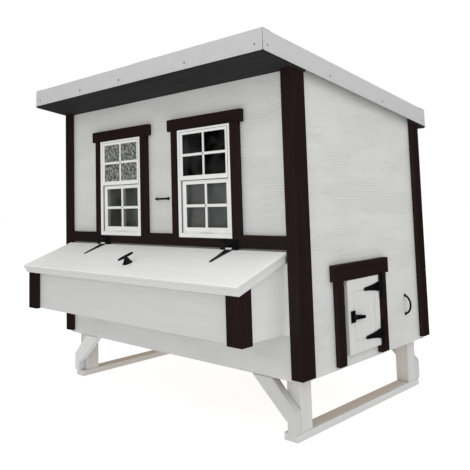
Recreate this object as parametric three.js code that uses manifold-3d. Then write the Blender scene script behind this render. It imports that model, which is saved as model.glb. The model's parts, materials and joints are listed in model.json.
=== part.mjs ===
// A raised timber chicken coop: a small house on two leg frames, with a lean-to roof, two
// single-hung windows, a nest box with a lift-up lid along the front, a pop door for the hens
// in the right wall and an access door for the keeper in the left wall.
//
// Millimetres. X runs along the front, Y from the front wall to the back wall, Z up.
// While the parts are made, X = 0 is the middle of the house, Y = 0 the front face of the
// corner boards and Z = 0 the ground. The last lines centre the finished coop.

import * as THREE from "three";
import Module from "manifold-3d";

const wasm = await Module();
wasm.setup();
const { Manifold, Mesh } = wasm;

// ---------------------------------------------------------------- driving dimensions

const FIT = 0.3; // gap left between two pieces that touch

const WIDTH = 1500; // over the corner boards
const DEPTH = 923;
const FLOOR_LINE = 206; // underside of the walls and the floor above the ground
const TRIM_FOOT = 218; // lower ends of the corner boards and door casings
const EAVE = 1308; // underside of the roof at Y = 0
const SLOPE = 0.1648; // fall of the roof per unit of Y

const TRIM = 20; // thickness of every trim board
// each corner board's width on the front or back of the house, and round the side
const CORNER = { front: { face: 50, side: 76 }, rear: { face: 68, side: 55 } };
const PANEL = 12; // siding panel
const STUD = 38;

const SIDING_X = WIDTH / 2 - TRIM;
const SIDING_FRONT = TRIM;
const SIDING_REAR = DEPTH - TRIM;
const INNER_X = SIDING_X - PANEL;
const INNER_FRONT = SIDING_FRONT + PANEL;
const INNER_REAR = SIDING_REAR - PANEL;

const LEG_OUT = WIDTH / 2 - 53; // outer face of the leg frames
const LEG_WIDTH = 60;
const POST_DEPTH = 64;
const BRACE_THICK = 34;
const SKID = 27;
const LEG_FRONT = 16; // front face of the front braces
const LEG_REAR = 910;

const FLOOR_TOP = FLOOR_LINE + 38;

const WINDOW_X = 282; // distance of each window's centre from the middle
const WINDOW = { width: 307, height: 445, depth: 45, bottom: 695 };
const CASING = 42; // side boards of the window casings
const BAND = { bottom: 660, top: 709 };

const NEST = { left: -697, right: 690, front: -231, bottom: 366 };
const NEST_TRIM = { face: 70, side: 53 };
const NEST_BOARD = 16;
const LID_RISE = 0.351; // fall of the lid per unit of Y
const LID_ANGLE = Math.atan(LID_RISE);
const LID_THICK = 38;
const LID_TOP_AT_WALL = 654;
const LID_FRONT = -258;
const LID_SIDE = 9; // lid past the nest's corner boards
const NEST_COUNT = 5;

const POP = { front: 292, rear: 515, bottom: 250, top: 525 };
const POP_CASING = { front: 271, rear: 518, widths: [45, 56], top: 528, head: 61, ears: [18, 17] };
const ACCESS = { front: 140, rear: 590, bottom: 266, top: 1036 };
const ACCESS_CASING = { front: 137, rear: 593, widths: [40, 40], top: 1039, head: 61, ears: [12, 14] };
const DOOR_LAP = 12; // a door covers its opening by this much on every side

const HINGE = {
  axis: 4.3, // height of the pin above the face that it is screwed to
  barrel: 4,
  pin: 2.4,
  plate: 2.5,
  flangeLength: 92,
  strap: 112,
  root: 39,
  waist: [[30, 14.5], [55, 11], [80, 8.5]], // half widths of the strap along its length
  tip: 13,
};

const ROOF = { front: -160, rear: 976, side: 760, frame: 70, deck: 9, shingle: 4, metal: 1.2 };
const FASCIA = 19;
const SIDING_RISE = 45; // side walls run up this far beside the roof frame

// ---------------------------------------------------------------- colours

const WHITE_SIDING = { color: 0xd9d9d7, roughness: 0.62, metalness: 0 };
const WHITE_LUMBER = { color: 0xd2d2d0, roughness: 0.6, metalness: 0 };
const WHITE_METAL = { color: 0xd4d4d3, roughness: 0.4, metalness: 0.3 };
const WHITE_VINYL = { color: 0xececea, roughness: 0.35, metalness: 0 };
const BROWN_TRIM = { color: 0x2a1d1d, roughness: 0.65, metalness: 0 };
const DARK_TIMBER = { color: 0x2b2b2b, roughness: 0.8, metalness: 0 };
const SHINGLE = { color: 0x3c3d3f, roughness: 0.95, metalness: 0 };
const RAW_WOOD = { color: 0xc09a6b, roughness: 0.75, metalness: 0 };
const BLACK_IRON = { color: 0x141414, roughness: 0.45, metalness: 0.7 };

// ---------------------------------------------------------------- solids

const coop = new THREE.Group();

const UNIT_BOX = toSolid(new THREE.BoxGeometry(1, 1, 1).translate(0.5, 0.5, 0.5));

function block(x0, x1, y0, y1, z0, z1) {
  return UNIT_BOX.scale([x1 - x0, y1 - y0, z1 - z0]).translate([x0, y0, z0]);
}

function join(...solids) {
  return Manifold.union(solids);
}

/** Two numbers, the smaller one first. */
function span(a, b) {
  return [Math.min(a, b), Math.max(a, b)];
}

/** Turns a three.js geometry into a solid that can be cut and joined. */
function toSolid(geometry) {
  const bare = new THREE.BufferGeometry();
  const source = geometry.index ? geometry.toNonIndexed() : geometry;
  const positions = source.getAttribute("position").array;
  bare.setAttribute("position", new THREE.BufferAttribute(positions, 3));
  const vertProperties = new Float32Array(positions);
  const triVerts = Uint32Array.from({ length: positions.length / 3 }, (_, i) => i);
  const mesh = new Mesh({ numProp: 3, vertProperties, triVerts });
  mesh.merge();
  return new Manifold(mesh);
}

/** Turns a solid into a flat-shaded three.js geometry. */
function toGeometry(solid) {
  const mesh = solid.getMesh();
  const geometry = new THREE.BufferGeometry();
  geometry.setAttribute("position", new THREE.BufferAttribute(mesh.vertProperties, 3));
  geometry.setIndex(new THREE.BufferAttribute(mesh.triVerts, 1));
  const flat = geometry.toNonIndexed();
  flat.computeVertexNormals();
  return flat;
}

/** Adds a solid to the coop as a named mesh and returns the mesh, so that it can be placed. */
function piece(name, finish, solid) {
  const mesh = new THREE.Mesh(toGeometry(solid), new THREE.MeshStandardMaterial(finish));
  mesh.name = name;
  coop.add(mesh);
  return mesh;
}

/** An outline of [u, v] points, pushed through w0..w1 along the third axis. */
function prism(points, w0, w1) {
  const outline = new THREE.Shape(points.map(([u, v]) => new THREE.Vector2(u, v)));
  const body = new THREE.ExtrudeGeometry(outline, { depth: w1 - w0, bevelEnabled: false });
  return toSolid(body.translate(0, 0, w0));
}

/** Stands a prism drawn in X and Z up, so that its height runs along +Y. */
function standInXZ(points, y0, y1) {
  const flipped = points.map(([x, z]) => [x, -z]).reverse();
  return prism(flipped, y0, y1).rotate([-90, 0, 0]);
}

/** Points along an arc, turning anticlockwise. */
function arc(x, y, radius, from, to, steps = 8) {
  return Array.from({ length: steps + 1 }, (_, i) => {
    const angle = from + ((to - from) * i) / steps;
    return [x + radius * Math.cos(angle), y + radius * Math.sin(angle)];
  });
}

/** A round bar along X, Y or Z, from one end to the other. */
function rod(axis, radius, from, to, sides = 32) {
  const bar = new THREE.CylinderGeometry(radius, radius, to - from, sides);
  bar.translate(0, (from + to) / 2, 0);
  if (axis === "x") bar.rotateZ(-Math.PI / 2);
  if (axis === "z") bar.rotateX(Math.PI / 2);
  return toSolid(bar);
}

function turned(profile, sides = 40) {
  const points = profile.map(([radius, height]) => new THREE.Vector2(radius, height));
  return toSolid(new THREE.LatheGeometry(points, sides)).rotate([90, 0, 0]);
}

/** Cuts away what is above the roof's underside, raised by a height. */
function underRoof(solid, raise = -FIT) {
  const length = Math.hypot(1, SLOPE);
  return solid.trimByPlane([0, -SLOPE / length, -1 / length], -(EAVE + raise) / length);
}

/** Height of the lid's top face at a distance Y. */
function lidTop(y) {
  return LID_TOP_AT_WALL + LID_RISE * y;
}

/** Cuts away what is above the lid's underside. */
function underLid(solid) {
  const length = Math.hypot(1, LID_RISE);
  const height = LID_TOP_AT_WALL - LID_THICK / Math.cos(LID_ANGLE) - 2 * FIT;
  return solid.trimByPlane([0, LID_RISE / length, -1 / length], -height / length);
}

// ---------------------------------------------------------------- base

function legFrame(name, side) {
  const skid = block(0, LEG_WIDTH, LEG_FRONT + 10, LEG_REAR - 10, 0, SKID);
  const posts = [LEG_FRONT + BRACE_THICK + FIT, LEG_REAR - BRACE_THICK - FIT - POST_DEPTH];
  const timbers = posts.map((y) => block(0, LEG_WIDTH, y, y + POST_DEPTH, SKID, FLOOR_LINE - FIT));
  const mesh = piece(name, WHITE_LUMBER, join(skid, ...timbers));
  mesh.position.x = side > 0 ? LEG_OUT - LEG_WIDTH : -LEG_OUT;
}

/** A raking brace, cut plumb at its foot and level under the floor, leaning to the middle. */
function legBrace(name, side, y) {
  const top = FLOOR_LINE - FIT - SKID - FIT;
  const foot = 36;
  const outline = [
    [0, 0],
    [0, 78],
    [-(top - 78), top],
    [-(top - 78) - 95, top],
    [-foot - 9, 45],
    [-foot, 40],
    [-foot, 0],
  ];
  const points = side > 0 ? outline : outline.map(([x, z]) => [-x, z]).reverse();
  const mesh = piece(name, WHITE_LUMBER, standInXZ(points, 0, BRACE_THICK));
  mesh.position.set(side * LEG_OUT, y, SKID + FIT);
}

function floor() {
  const left = -INNER_X + FIT;
  const right = INNER_X - FIT;
  const front = INNER_FRONT + FIT;
  const rear = INNER_REAR - FIT;
  const board = block(left, right, front, rear, FLOOR_TOP - 12, FLOOR_TOP);
  const rims = [
    block(left, right, front, front + STUD, FLOOR_LINE, FLOOR_TOP - 12),
    block(left, right, rear - STUD, rear, FLOOR_LINE, FLOOR_TOP - 12),
  ];
  const joists = [-1, -0.5, 0, 0.5, 1].map((place) => {
    const x = place * (right - STUD / 2);
    return block(x - STUD / 2, x + STUD / 2, front, rear, FLOOR_LINE, FLOOR_TOP - 12);
  });
  piece("floor", RAW_WOOD, join(board, ...rims, ...joists));
}

// ---------------------------------------------------------------- walls

const STUD_FOOT = FLOOR_TOP + FIT;

/** A rail or stud frame around an opening, on the inner face of a front or rear panel. */
function frameXZ(x0, x1, z0, z1, y0, y1) {
  const outer = block(x0 - STUD, x1 + STUD, y0, y1, z0 - STUD, z1 + STUD);
  return outer.subtract(block(x0, x1, y0 - 1, y1 + 1, z0, z1));
}

/** The same on the inner face of a side panel. */
function frameYZ(y0, y1, z0, z1, x0, x1) {
  const outer = block(x0, x1, y0 - STUD, y1 + STUD, z0 - STUD, z1 + STUD);
  return outer.subtract(block(x0 - 1, x1 + 1, y0, y1, z0, z1));
}

const NEST_MOUTH = { left: -655, right: 648, bottom: NEST.bottom + 19, top: LID_TOP_AT_WALL - 53 };

function wallFront() {
  const y0 = SIDING_FRONT + FIT;
  const inside = INNER_FRONT + STUD;
  const halfWindow = WINDOW.width / 2 + 1;
  const windows = [-WINDOW_X, WINDOW_X].map((x) => [x - halfWindow, x + halfWindow]);
  const sill = WINDOW.bottom - 1;
  const head = WINDOW.bottom + WINDOW.height + 1;
  const mouth = NEST_MOUTH;
  const edge = INNER_X - STUD - FIT;
  const timbers = [
    block(-edge - STUD, -edge, INNER_FRONT, inside, STUD_FOOT, EAVE),
    block(edge, edge + STUD, INNER_FRONT, inside, STUD_FOOT, EAVE),
    block(-edge, edge, INNER_FRONT, inside, EAVE - 60, EAVE),
    block(-edge, edge, INNER_FRONT, inside, mouth.top, mouth.top + STUD),
    ...windows.map(([x0, x1]) => frameXZ(x0, x1, sill, head, INNER_FRONT, inside)),
  ];
  const holes = [
    block(mouth.left, mouth.right, 0, inside + 1, mouth.bottom, mouth.top),
    ...windows.map(([x0, x1]) => block(x0, x1, 0, inside + 1, sill, head)),
  ];
  const panel = block(-SIDING_X, SIDING_X, y0, INNER_FRONT, FLOOR_LINE, EAVE);
  piece("wall_front", WHITE_SIDING, underRoof(join(panel, ...timbers).subtract(join(...holes))));
}

function wallRear() {
  const inside = INNER_REAR - STUD;
  const edge = INNER_X - STUD - FIT;
  const timbers = [-edge - STUD, -STUD / 2, edge].map((x) =>
    block(x, x + STUD, inside, INNER_REAR, STUD_FOOT, EAVE));
  const plate = EAVE - SLOPE * INNER_REAR - 45;
  timbers.push(block(-edge, edge, inside, INNER_REAR, plate, EAVE));
  const panel = block(-SIDING_X, SIDING_X, INNER_REAR, SIDING_REAR - FIT, FLOOR_LINE, EAVE);
  piece("wall_rear", WHITE_SIDING, underRoof(join(panel, ...timbers)));
}

/** A side wall with one door opening; side is +1 for the right wall. */
function wallSide(name, side, door) {
  const front = INNER_FRONT + FIT;
  const rear = INNER_REAR - FIT;
  const hole = [door.front + DOOR_LAP, door.rear - DOOR_LAP, door.bottom + DOOR_LAP, door.top - DOOR_LAP];
  const [y0, y1, z0, z1] = hole;
  const post = front + STUD + FIT;
  const timbers = [
    frameYZ(y0, y1, z0, z1, 0, STUD),
    block(0, STUD, post, post + STUD, STUD_FOOT, EAVE),
    block(0, STUD, rear - 2 * STUD - FIT, rear - STUD - FIT, STUD_FOOT, EAVE),
    block(0, STUD, post, rear - STUD - FIT, EAVE - 60 - SLOPE * rear, EAVE)
      .subtract(underRoof(block(-1, STUD + 1, post, rear, 0, EAVE), -60)),
  ];
  const panel = block(STUD, STUD + PANEL - FIT, front, rear, FLOOR_LINE, EAVE);
  const solid = join(panel, ...timbers)
    .subtract(block(-1, STUD + PANEL + 1, y0, y1, z0, z1))
    .subtract(block(-1, STUD, front - 1, rear + 1, 0, STUD_FOOT));
  const y2 = CORNER.front.side + FIT;
  const y3 = DEPTH - CORNER.rear.side - FIT;
  const rise = roofSlab(INNER_X, SIDING_X - FIT, y2, y3, -5, SIDING_RISE);
  const placed = underRoof(solid).translate([INNER_X - STUD, 0, 0]).add(rise);
  piece(name, WHITE_SIDING, side > 0 ? placed : placed.mirror([1, 0, 0]));
}

// ---------------------------------------------------------------- trim boards

/** An L of two boards that wraps one corner of the house. */
function cornerTrim(name, side, atRear) {
  const outer = WIDTH / 2;
  const width = atRear ? CORNER.rear : CORNER.front;
  const face = block(outer - width.face, outer, 0, TRIM - FIT, TRIM_FOOT, EAVE);
  const flank = block(SIDING_X + FIT, outer, 0, width.side, TRIM_FOOT, EAVE);
  let solid = join(face, flank);
  if (atRear) solid = solid.mirror([0, 1, 0]).translate([0, DEPTH, 0]);
  if (side < 0) solid = solid.mirror([1, 0, 0]);
  piece(name, BROWN_TRIM, underRoof(solid));
}

/** The band between the windows and the lid, notched under each window. */
function bandBoard() {
  const end = WIDTH / 2 - CORNER.front.face - FIT;
  const half = WINDOW.width / 2 + FIT;
  const notches = [-WINDOW_X, WINDOW_X].map((x) =>
    block(x - half, x + half, -1, TRIM + 1, WINDOW.bottom - FIT, BAND.top + 1));
  const board = block(-end, end, 0, TRIM - FIT, BAND.bottom, BAND.top);
  piece("band_board", BROWN_TRIM, board.subtract(join(...notches)));
}

/** Two side boards and a head board with ears, around a window. */
function windowCasing(name, x) {
  const inner = WINDOW.width / 2 + FIT;
  const outer = inner + CASING;
  const top = WINDOW.bottom + WINDOW.height + FIT;
  const foot = BAND.top + FIT;
  const solid = join(
    block(-outer, -inner, 0, TRIM - FIT, foot, top),
    block(inner, outer, 0, TRIM - FIT, foot, top),
    block(-outer - 19, outer + 19, -4, TRIM - FIT, top, top + 49),
  );
  piece(name, BROWN_TRIM, solid).position.x = x;
}

/** The casing of a side door: two side boards that run down to the wall's edge and a head. */
function doorCasing(name, side, casing) {
  const front = casing.front - casing.widths[0];
  const rear = casing.rear + casing.widths[1];
  const { top, head, ears } = casing;
  const solid = join(
    block(FIT, TRIM, front, casing.front, TRIM_FOOT, top),
    block(FIT, TRIM, casing.rear, rear, TRIM_FOOT, top),
    block(FIT, TRIM + 3, front - ears[0], rear + ears[1], top, top + head),
  );
  const mesh = piece(name, BROWN_TRIM, side > 0 ? solid : solid.mirror([1, 0, 0]));
  mesh.position.x = side * SIDING_X;
}

// ---------------------------------------------------------------- windows

/** A sash of width, height and thickness, with one pane and a cross of glazing bars. */
function sash(width, height, thick, stile, bottomRail, topRail) {
  const half = width / 2;
  const frame = block(-half, half, 0, thick, 0, height)
    .subtract(block(-half + stile, half - stile, -1, thick + 1, bottomRail, height - topRail));
  const middle = (bottomRail + height - topRail) / 2;
  return join(
    frame,
    block(-half + 1, half - 1, thick / 2 - 1.5, thick / 2 + 1.5, 1, height - 1),
    block(-6, 6, 2, thick - 2, bottomRail - 1, height - topRail + 1),
    block(-half + 1, half - 1, 2, thick - 2, middle - 6, middle + 6),
  );
}

const JAMB = 14;
const UPPER_SASH = { y: 2, thick: 11, bottom: 234 };
const LOWER_SASH = { y: 14.5, thick: 12, bottom: 17, height: 223 };

function windowUnit(side, x) {
  const half = WINDOW.width / 2;
  const top = WINDOW.height - 10;
  const ring = block(-half, half, 0, WINDOW.depth, 0, WINDOW.height)
    .subtract(block(-half + JAMB, half - JAMB, -1, WINDOW.depth + 1, 16, top));
  const upperHeight = top - UPPER_SASH.bottom + 1;
  const upper = sash(WINDOW.width - 2 * JAMB + 2, upperHeight, UPPER_SASH.thick, 16.5, 18, 12)
    .translate([0, UPPER_SASH.y, UPPER_SASH.bottom]);
  const frame = piece(`window_frame_${side}`, WHITE_VINYL, join(ring, upper));
  frame.position.set(x, 0, WINDOW.bottom);

  const { y, thick, bottom, height } = LOWER_SASH;
  const lower = sash(WINDOW.width - 2 * JAMB - 1, height, thick, 15, 23, 24);
  const lift = block(-40, 40, thick - 1, thick + 7, 4, 12);
  const sliding = piece(`window_sash_${side}`, WHITE_VINYL, join(lower, lift));
  sliding.position.set(x, y, WINDOW.bottom + bottom);
}

// ---------------------------------------------------------------- nest box

const NEST_PANEL = {
  left: NEST.left + TRIM,
  right: NEST.right - TRIM,
  front: NEST.front + TRIM,
};

function nestBox() {
  const { left, right, front } = NEST_PANEL;
  const wall = SIDING_FRONT - FIT;
  const behind = front + NEST_BOARD + FIT;
  const top = LID_TOP_AT_WALL;
  const inLeft = left + NEST_BOARD + FIT;
  const inRight = right - NEST_BOARD - FIT;
  piece("nest_floor", WHITE_SIDING, block(inLeft, inRight, behind, wall, NEST.bottom, NEST.bottom + NEST_BOARD));
  piece("nest_front", WHITE_SIDING, underLid(block(left, right, front, front + NEST_BOARD, NEST.bottom, top)));
  // each side board carries a fixing strip that reaches out to the house's corner board
  for (const [word, side, outer] of [["left", -1, left], ["right", 1, right]]) {
    const inner = outer - side * NEST_BOARD;
    const end = side * (WIDTH / 2 - CORNER.front.face - FIT);
    const board = block(...span(inner, outer), behind, wall, NEST.bottom, top);
    const strip = block(...span(inner, end), FIT, wall, NEST.bottom, top);
    piece(`nest_side_${word}`, WHITE_SIDING, underLid(join(board, strip)));
  }
}

function nestTrim(name, side) {
  const face = block(0, NEST_TRIM.face, NEST.front, NEST_PANEL.front - FIT, NEST.bottom - 2, BAND.top);
  const flank = block(0, TRIM - FIT, NEST.front, NEST.front + NEST_TRIM.side, NEST.bottom - 2, BAND.top);
  const solid = underLid(join(face, flank));
  const mesh = piece(name, BROWN_TRIM, side < 0 ? solid : solid.mirror([1, 0, 0]));
  mesh.position.x = side < 0 ? NEST.left : NEST.right;
}

/** Upright dividers on one lip board, which lifts out through the cabin. */
function nestDividers() {
  const thick = 12;
  const left = NEST_MOUTH.left + 2;
  const right = NEST_MOUTH.right - 2;
  const bottom = NEST_MOUTH.bottom + FIT;
  const front = NEST_PANEL.front + NEST_BOARD + 2;
  const lip = block(left, right, INNER_FRONT, INNER_FRONT + thick, bottom, bottom + 90);
  const pitch = (right - left + thick) / NEST_COUNT;
  const boards = [];
  for (let i = 1; i < NEST_COUNT; i += 1) {
    const x = left + i * pitch - thick;
    const board = block(x, x + thick, front, INNER_FRONT + 1, bottom, NEST_MOUTH.top - 2);
    boards.push(underLid(board));
  }
  piece("nest_dividers", RAW_WOOD, join(lip, ...boards));
}

/** The lid, hollowed underneath, drawn flat, tilted, and cut plumb at its hinge edge. */
function nestLid() {
  const left = NEST.left - LID_SIDE;
  const right = NEST.right + LID_SIDE;
  const length = -LID_FRONT / Math.cos(LID_ANGLE);
  const rail = 42;
  const radius = 6;
  const low = -length + radius;
  const outline = [
    [left, 20],
    ...arc(left + radius, low, radius, Math.PI, 1.5 * Math.PI),
    ...arc(right - radius, low, radius, 1.5 * Math.PI, 2 * Math.PI),
    [right, 20],
  ];
  const slab = prism(outline, -LID_THICK, 0);
  const hollow = block(left + rail, right - rail, -length + rail, -rail, -LID_THICK - 1, -13);
  const tilted = slab.subtract(hollow).rotate([(LID_ANGLE * 180) / Math.PI, 0, 0]);
  const plumb = tilted.trimByPlane([0, -1, 0], 1);
  piece("nest_lid", WHITE_SIDING, plumb).position.z = LID_TOP_AT_WALL;
}

// ---------------------------------------------------------------- hinges

// A T hinge is drawn with its pin along Y and its screwed faces at Z = -HINGE.axis:
// the flange reaches to -X and the strap to +X.

function hingeFlange(reach) {
  const half = HINGE.flangeLength / 2;
  const face = -HINGE.axis + FIT;
  const knuckle = 17;
  const plate = block(-reach, -1, -half, half, face, face + HINGE.plate);
  const clear = rod("y", HINGE.barrel + 0.4, -knuckle - 0.4, knuckle + 0.4);
  return join(
    plate.subtract(clear),
    rod("y", HINGE.barrel, -half, -knuckle - 0.4),
    rod("y", HINGE.barrel, knuckle + 0.4, half),
    rod("y", HINGE.pin, -half - 1.5, half + 1.5),
  );
}

function hingeStrap() {
  const face = -HINGE.axis + FIT;
  const root = HINGE.root / 2;
  const tip = HINGE.tip / 2;
  const end = HINGE.strap - tip;
  const outline = [
    [1, -17], [7, -17], [10, -root],
    ...HINGE.waist.map(([x, half]) => [x, -half]),
    ...arc(end, 0, tip, -Math.PI / 2, Math.PI / 2),
    ...HINGE.waist.map(([x, half]) => [x, half]).reverse(),
    [10, root], [7, 17], [1, 17],
  ];
  return join(prism(outline, face, face + HINGE.plate), rod("y", HINGE.barrel, -17, 17))
    .subtract(rod("y", HINGE.pin + 0.08, -18, 18));
}

function sideHinge(prefix, level, side, y, z) {
  // flange towards the rear of the coop, strap towards the front, faces turned outwards
  for (const [part, solid] of [["leaf", hingeFlange(24)], ["strap", hingeStrap()]]) {
    const upright = solid.rotate([90, 0, 0]).rotate([0, 0, 90]);
    const turned = upright.mirror([0, 1, 0]);
    const name = `${prefix}_hinge_${part}_${level}`;
    const mesh = piece(name, BLACK_IRON, side > 0 ? turned : turned.mirror([1, 0, 0]));
    mesh.position.set(side * (WIDTH / 2 + HINGE.axis), y, z);
  }
}

const LID_PIN = {
  y: -HINGE.axis,
  z: lidTop(-HINGE.axis) + HINGE.axis / Math.cos(LID_ANGLE),
};

function lidHinge(side, x) {
  const tilt = (LID_ANGLE * 180) / Math.PI;
  const leaf = hingeFlange(33).rotate([0, 0, -90]).rotate([90, 0, 0]);
  const strap = hingeStrap().rotate([0, 0, -90]).rotate([tilt, 0, 0]);
  for (const [part, solid] of [["leaf", leaf], ["strap", strap]]) {
    piece(`lid_hinge_${part}_${side}`, BLACK_IRON, solid).position.set(x, LID_PIN.y, LID_PIN.z);
  }
}

// ---------------------------------------------------------------- handles and latches

/** A T handle on a conical rose, drawn standing on Z = 0 with its bar along Y. */
function tHandle() {
  const rose = turned([[0, FIT], [26, FIT], [26, 4], [13, 18], [8, 22], [8, 32], [0, 32]]);
  const bar = turned([[0, -40], [3.5, -39], [5.5, -30], [5.5, 30], [3.5, 39], [0, 40]], 24);
  return join(rose, bar.rotate([90, 0, 0]).translate([0, 0, 30]));
}

function lidHandle() {
  const reach = 171;
  const x = (NEST.left + NEST.right) / 2 - 5;
  const mesh = piece("lid_handle", BLACK_IRON, tHandle());
  mesh.rotation.x = LID_ANGLE;
  mesh.position.set(x, -reach * Math.cos(LID_ANGLE), LID_TOP_AT_WALL - reach * Math.sin(LID_ANGLE));
}

function accessHandle() {
  const mesh = piece("access_handle", BLACK_IRON, tHandle());
  mesh.rotation.y = -Math.PI / 2;
  mesh.position.set(-WIDTH / 2, ACCESS.front + 60, ACCESS.bottom + 390);
}

/** A bow of round bar on two feet, drawn standing on Z = 0 with its feet along X. */
function bowCatch() {
  const points = [[-39, -4], [-38, 4], [-30, 15], [-15, 24], [0, 26], [15, 24], [30, 15], [38, 4], [39, -4]];
  const path = new THREE.CatmullRomCurve3(points.map(([x, z]) => new THREE.Vector3(x, 0, z)));
  const section = new THREE.Shape().absarc(0, 0, 4.2, 0, Math.PI * 2);
  const options = { steps: 40, curveSegments: 12, extrudePath: path };
  const bow = toSolid(new THREE.ExtrudeGeometry(section, options)).trimByPlane([0, 0, 1], FIT);
  const feet = [-38.7, 38.7].map((x) => rod("z", 6.8, FIT, 2.5, 24).translate([x, 0, 0]));
  return join(bow, ...feet);
}

function catches() {
  const front = piece("lid_catch", BLACK_IRON, bowCatch().rotate([90, 0, 0]));
  front.position.set(6, SIDING_FRONT, 856);
  const flank = piece("pop_door_catch", BLACK_IRON, bowCatch().rotate([0, 90, 0]));
  flank.position.set(SIDING_X, 754, 372);
}

const LATCH = { y: 320, z: 388, droop: 6 };

function popLatch() {
  const plate = block(FIT, 4, -14, 14, -22, 22).add(rod("x", 9, 3, 9));
  piece("pop_latch_plate", BLACK_IRON, plate).position.set(WIDTH / 2, LATCH.y, LATCH.z);
  const outline = [[0, -9], ...arc(62, 0, 6, -Math.PI / 2, Math.PI / 2), [0, 9]];
  const arm = prism(outline, 0, 6).subtract(rod("z", 3.5, -1, 7, 20).translate([50, 0, 0]));
  const knob = rod("z", 10, 0, 8);
  const solid = join(arm, knob).rotate([0, 0, -LATCH.droop]).rotate([90, 0, 0]).rotate([0, 0, 90]);
  piece("pop_latch_lever", BLACK_IRON, solid).position.set(WIDTH / 2 + 9 + FIT, LATCH.y, LATCH.z);
}

// ---------------------------------------------------------------- doors

function popDoor() {
  const face = WIDTH / 2;
  const { front, rear, bottom, top } = POP;
  const groove = block(face - 2, face + 1, front + 34, rear - 34, bottom + 42, top - 42)
    .subtract(block(face - 3, face + 2, front + 42, rear - 42, bottom + 50, top - 50));
  const door = block(SIDING_X + FIT, face, front, rear, bottom, top);
  piece("pop_door", WHITE_SIDING, door.subtract(groove));
}

function accessDoor() {
  const face = WIDTH / 2;
  const { front, rear, bottom, top } = ACCESS;
  const rail = 60;
  const slab = block(SIDING_X + FIT, face, front, rear, bottom, top);
  const field = block(face - 4, face + 1, front + rail, rear - rail, bottom + rail, top - rail);
  piece("access_door", WHITE_SIDING, slab.subtract(field).mirror([1, 0, 0]));
}

// ---------------------------------------------------------------- inside

/** Two perches on a pair of cross cleats. */
function roostRack() {
  const end = INNER_X - STUD - 2;
  const height = FLOOR_LINE + 430;
  const bars = [640, 810].map((y) => block(-end, end, y - 19, y + 19, height, height + STUD));
  const cleats = [-end, end - 22].map((x) => block(x, x + 22, 600, 850, height - 60, height + 1));
  piece("roost_rack", RAW_WOOD, join(...bars, ...cleats));
}

// ---------------------------------------------------------------- roof

/** A slab between two heights above the roof's underside, in plan x0..x1 and y0..y1. */
function roofSlab(x0, x1, y0, y1, low, high) {
  const column = block(x0, x1, y0, y1, 0, EAVE + 400);
  const under = underRoof(column, high);
  return under.subtract(underRoof(block(x0 - 1, x1 + 1, y0 - 1, y1 + 1, -1, EAVE + 400), low));
}

function roofFrame() {
  const x = ROOF.side - ROOF.metal - FIT;
  const y0 = ROOF.front + ROOF.metal + FIT;
  const y1 = ROOF.rear - ROOF.metal - FIT;
  const body = roofSlab(-x, x, y0, y1, 0, ROOF.frame);
  const bays = 5;
  const bayLeft = -INNER_X + STUD + FIT;
  const pitch = (2 * -bayLeft + STUD) / bays;
  const hollows = [];
  for (let i = 0; i < bays; i += 1) {
    const left = bayLeft + i * pitch;
    hollows.push(roofSlab(left, left + pitch - STUD, INNER_FRONT + STUD, y1 - FASCIA - 70, -1, ROOF.frame + 1));
  }
  // rebates for the side walls
  const rebate = roofSlab(INNER_X - FIT, x + 1, CORNER.front.side, DEPTH - CORNER.rear.side, -1, SIDING_RISE + FIT);
  hollows.push(rebate, rebate.mirror([1, 0, 0]));
  piece("roof_frame", DARK_TIMBER, body.subtract(join(...hollows)));
}

function roofCover() {
  const x = ROOF.side - ROOF.metal - FIT;
  const y0 = ROOF.front + ROOF.metal + FIT;
  const y1 = ROOF.rear - ROOF.metal - FIT;
  const deckLow = ROOF.frame + FIT;
  const shingleLow = deckLow + ROOF.deck + FIT;
  piece("roof_deck", RAW_WOOD, roofSlab(-x, x, y0, y1, deckLow, deckLow + ROOF.deck));
  piece("roof_shingles", SHINGLE, roofSlab(-x, x, y0, y1, shingleLow, shingleLow + ROOF.shingle));
}

const FLASHING_LOW = 6; // lower edge of the metal above the roof's underside
const FLASHING_TOP = ROOF.frame + ROOF.deck + ROOF.shingle + 3 * FIT;

/** Edge metal along the front or the back, with a kicked-out lip and a flange on the roof. */
function eaveFlashing(name, outer, side) {
  const metal = ROOF.metal;
  const x = ROOF.side;
  const strip = (from, to, low, high) => {
    const ends = [outer + side * from, outer + side * to].sort((a, b) => a - b);
    return roofSlab(-x, x, ends[0], ends[1], low, high);
  };
  piece(name, WHITE_METAL, join(
    strip(0, metal, FLASHING_LOW, FLASHING_TOP + metal),
    strip(0, 45, FLASHING_TOP, FLASHING_TOP + metal),
    strip(-6, metal, FLASHING_LOW, FLASHING_LOW + 2.5),
  ));
}

/** Edge metal up one sloping side, between the front and back lengths. */
function rakeFlashing(name, side) {
  const metal = ROOF.metal;
  const y0 = ROOF.front + metal + FIT;
  const y1 = ROOF.rear - metal - FIT;
  const inset = 45 + FIT;
  const x = ROOF.side;
  const solid = join(
    roofSlab(x - metal, x, y0, y1, FLASHING_LOW, FLASHING_TOP - FIT),
    roofSlab(x - metal, x, y0 + inset, y1 - inset, FLASHING_TOP - 2, FLASHING_TOP + metal),
    roofSlab(x - 45, x, y0 + inset, y1 - inset, FLASHING_TOP, FLASHING_TOP + metal),
    roofSlab(x - metal, x + 6, y0, y1, FLASHING_LOW, FLASHING_LOW + 2.5),
  );
  piece(name, WHITE_METAL, side > 0 ? solid : solid.mirror([1, 0, 0]));
}

// ---------------------------------------------------------------- the coop

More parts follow.
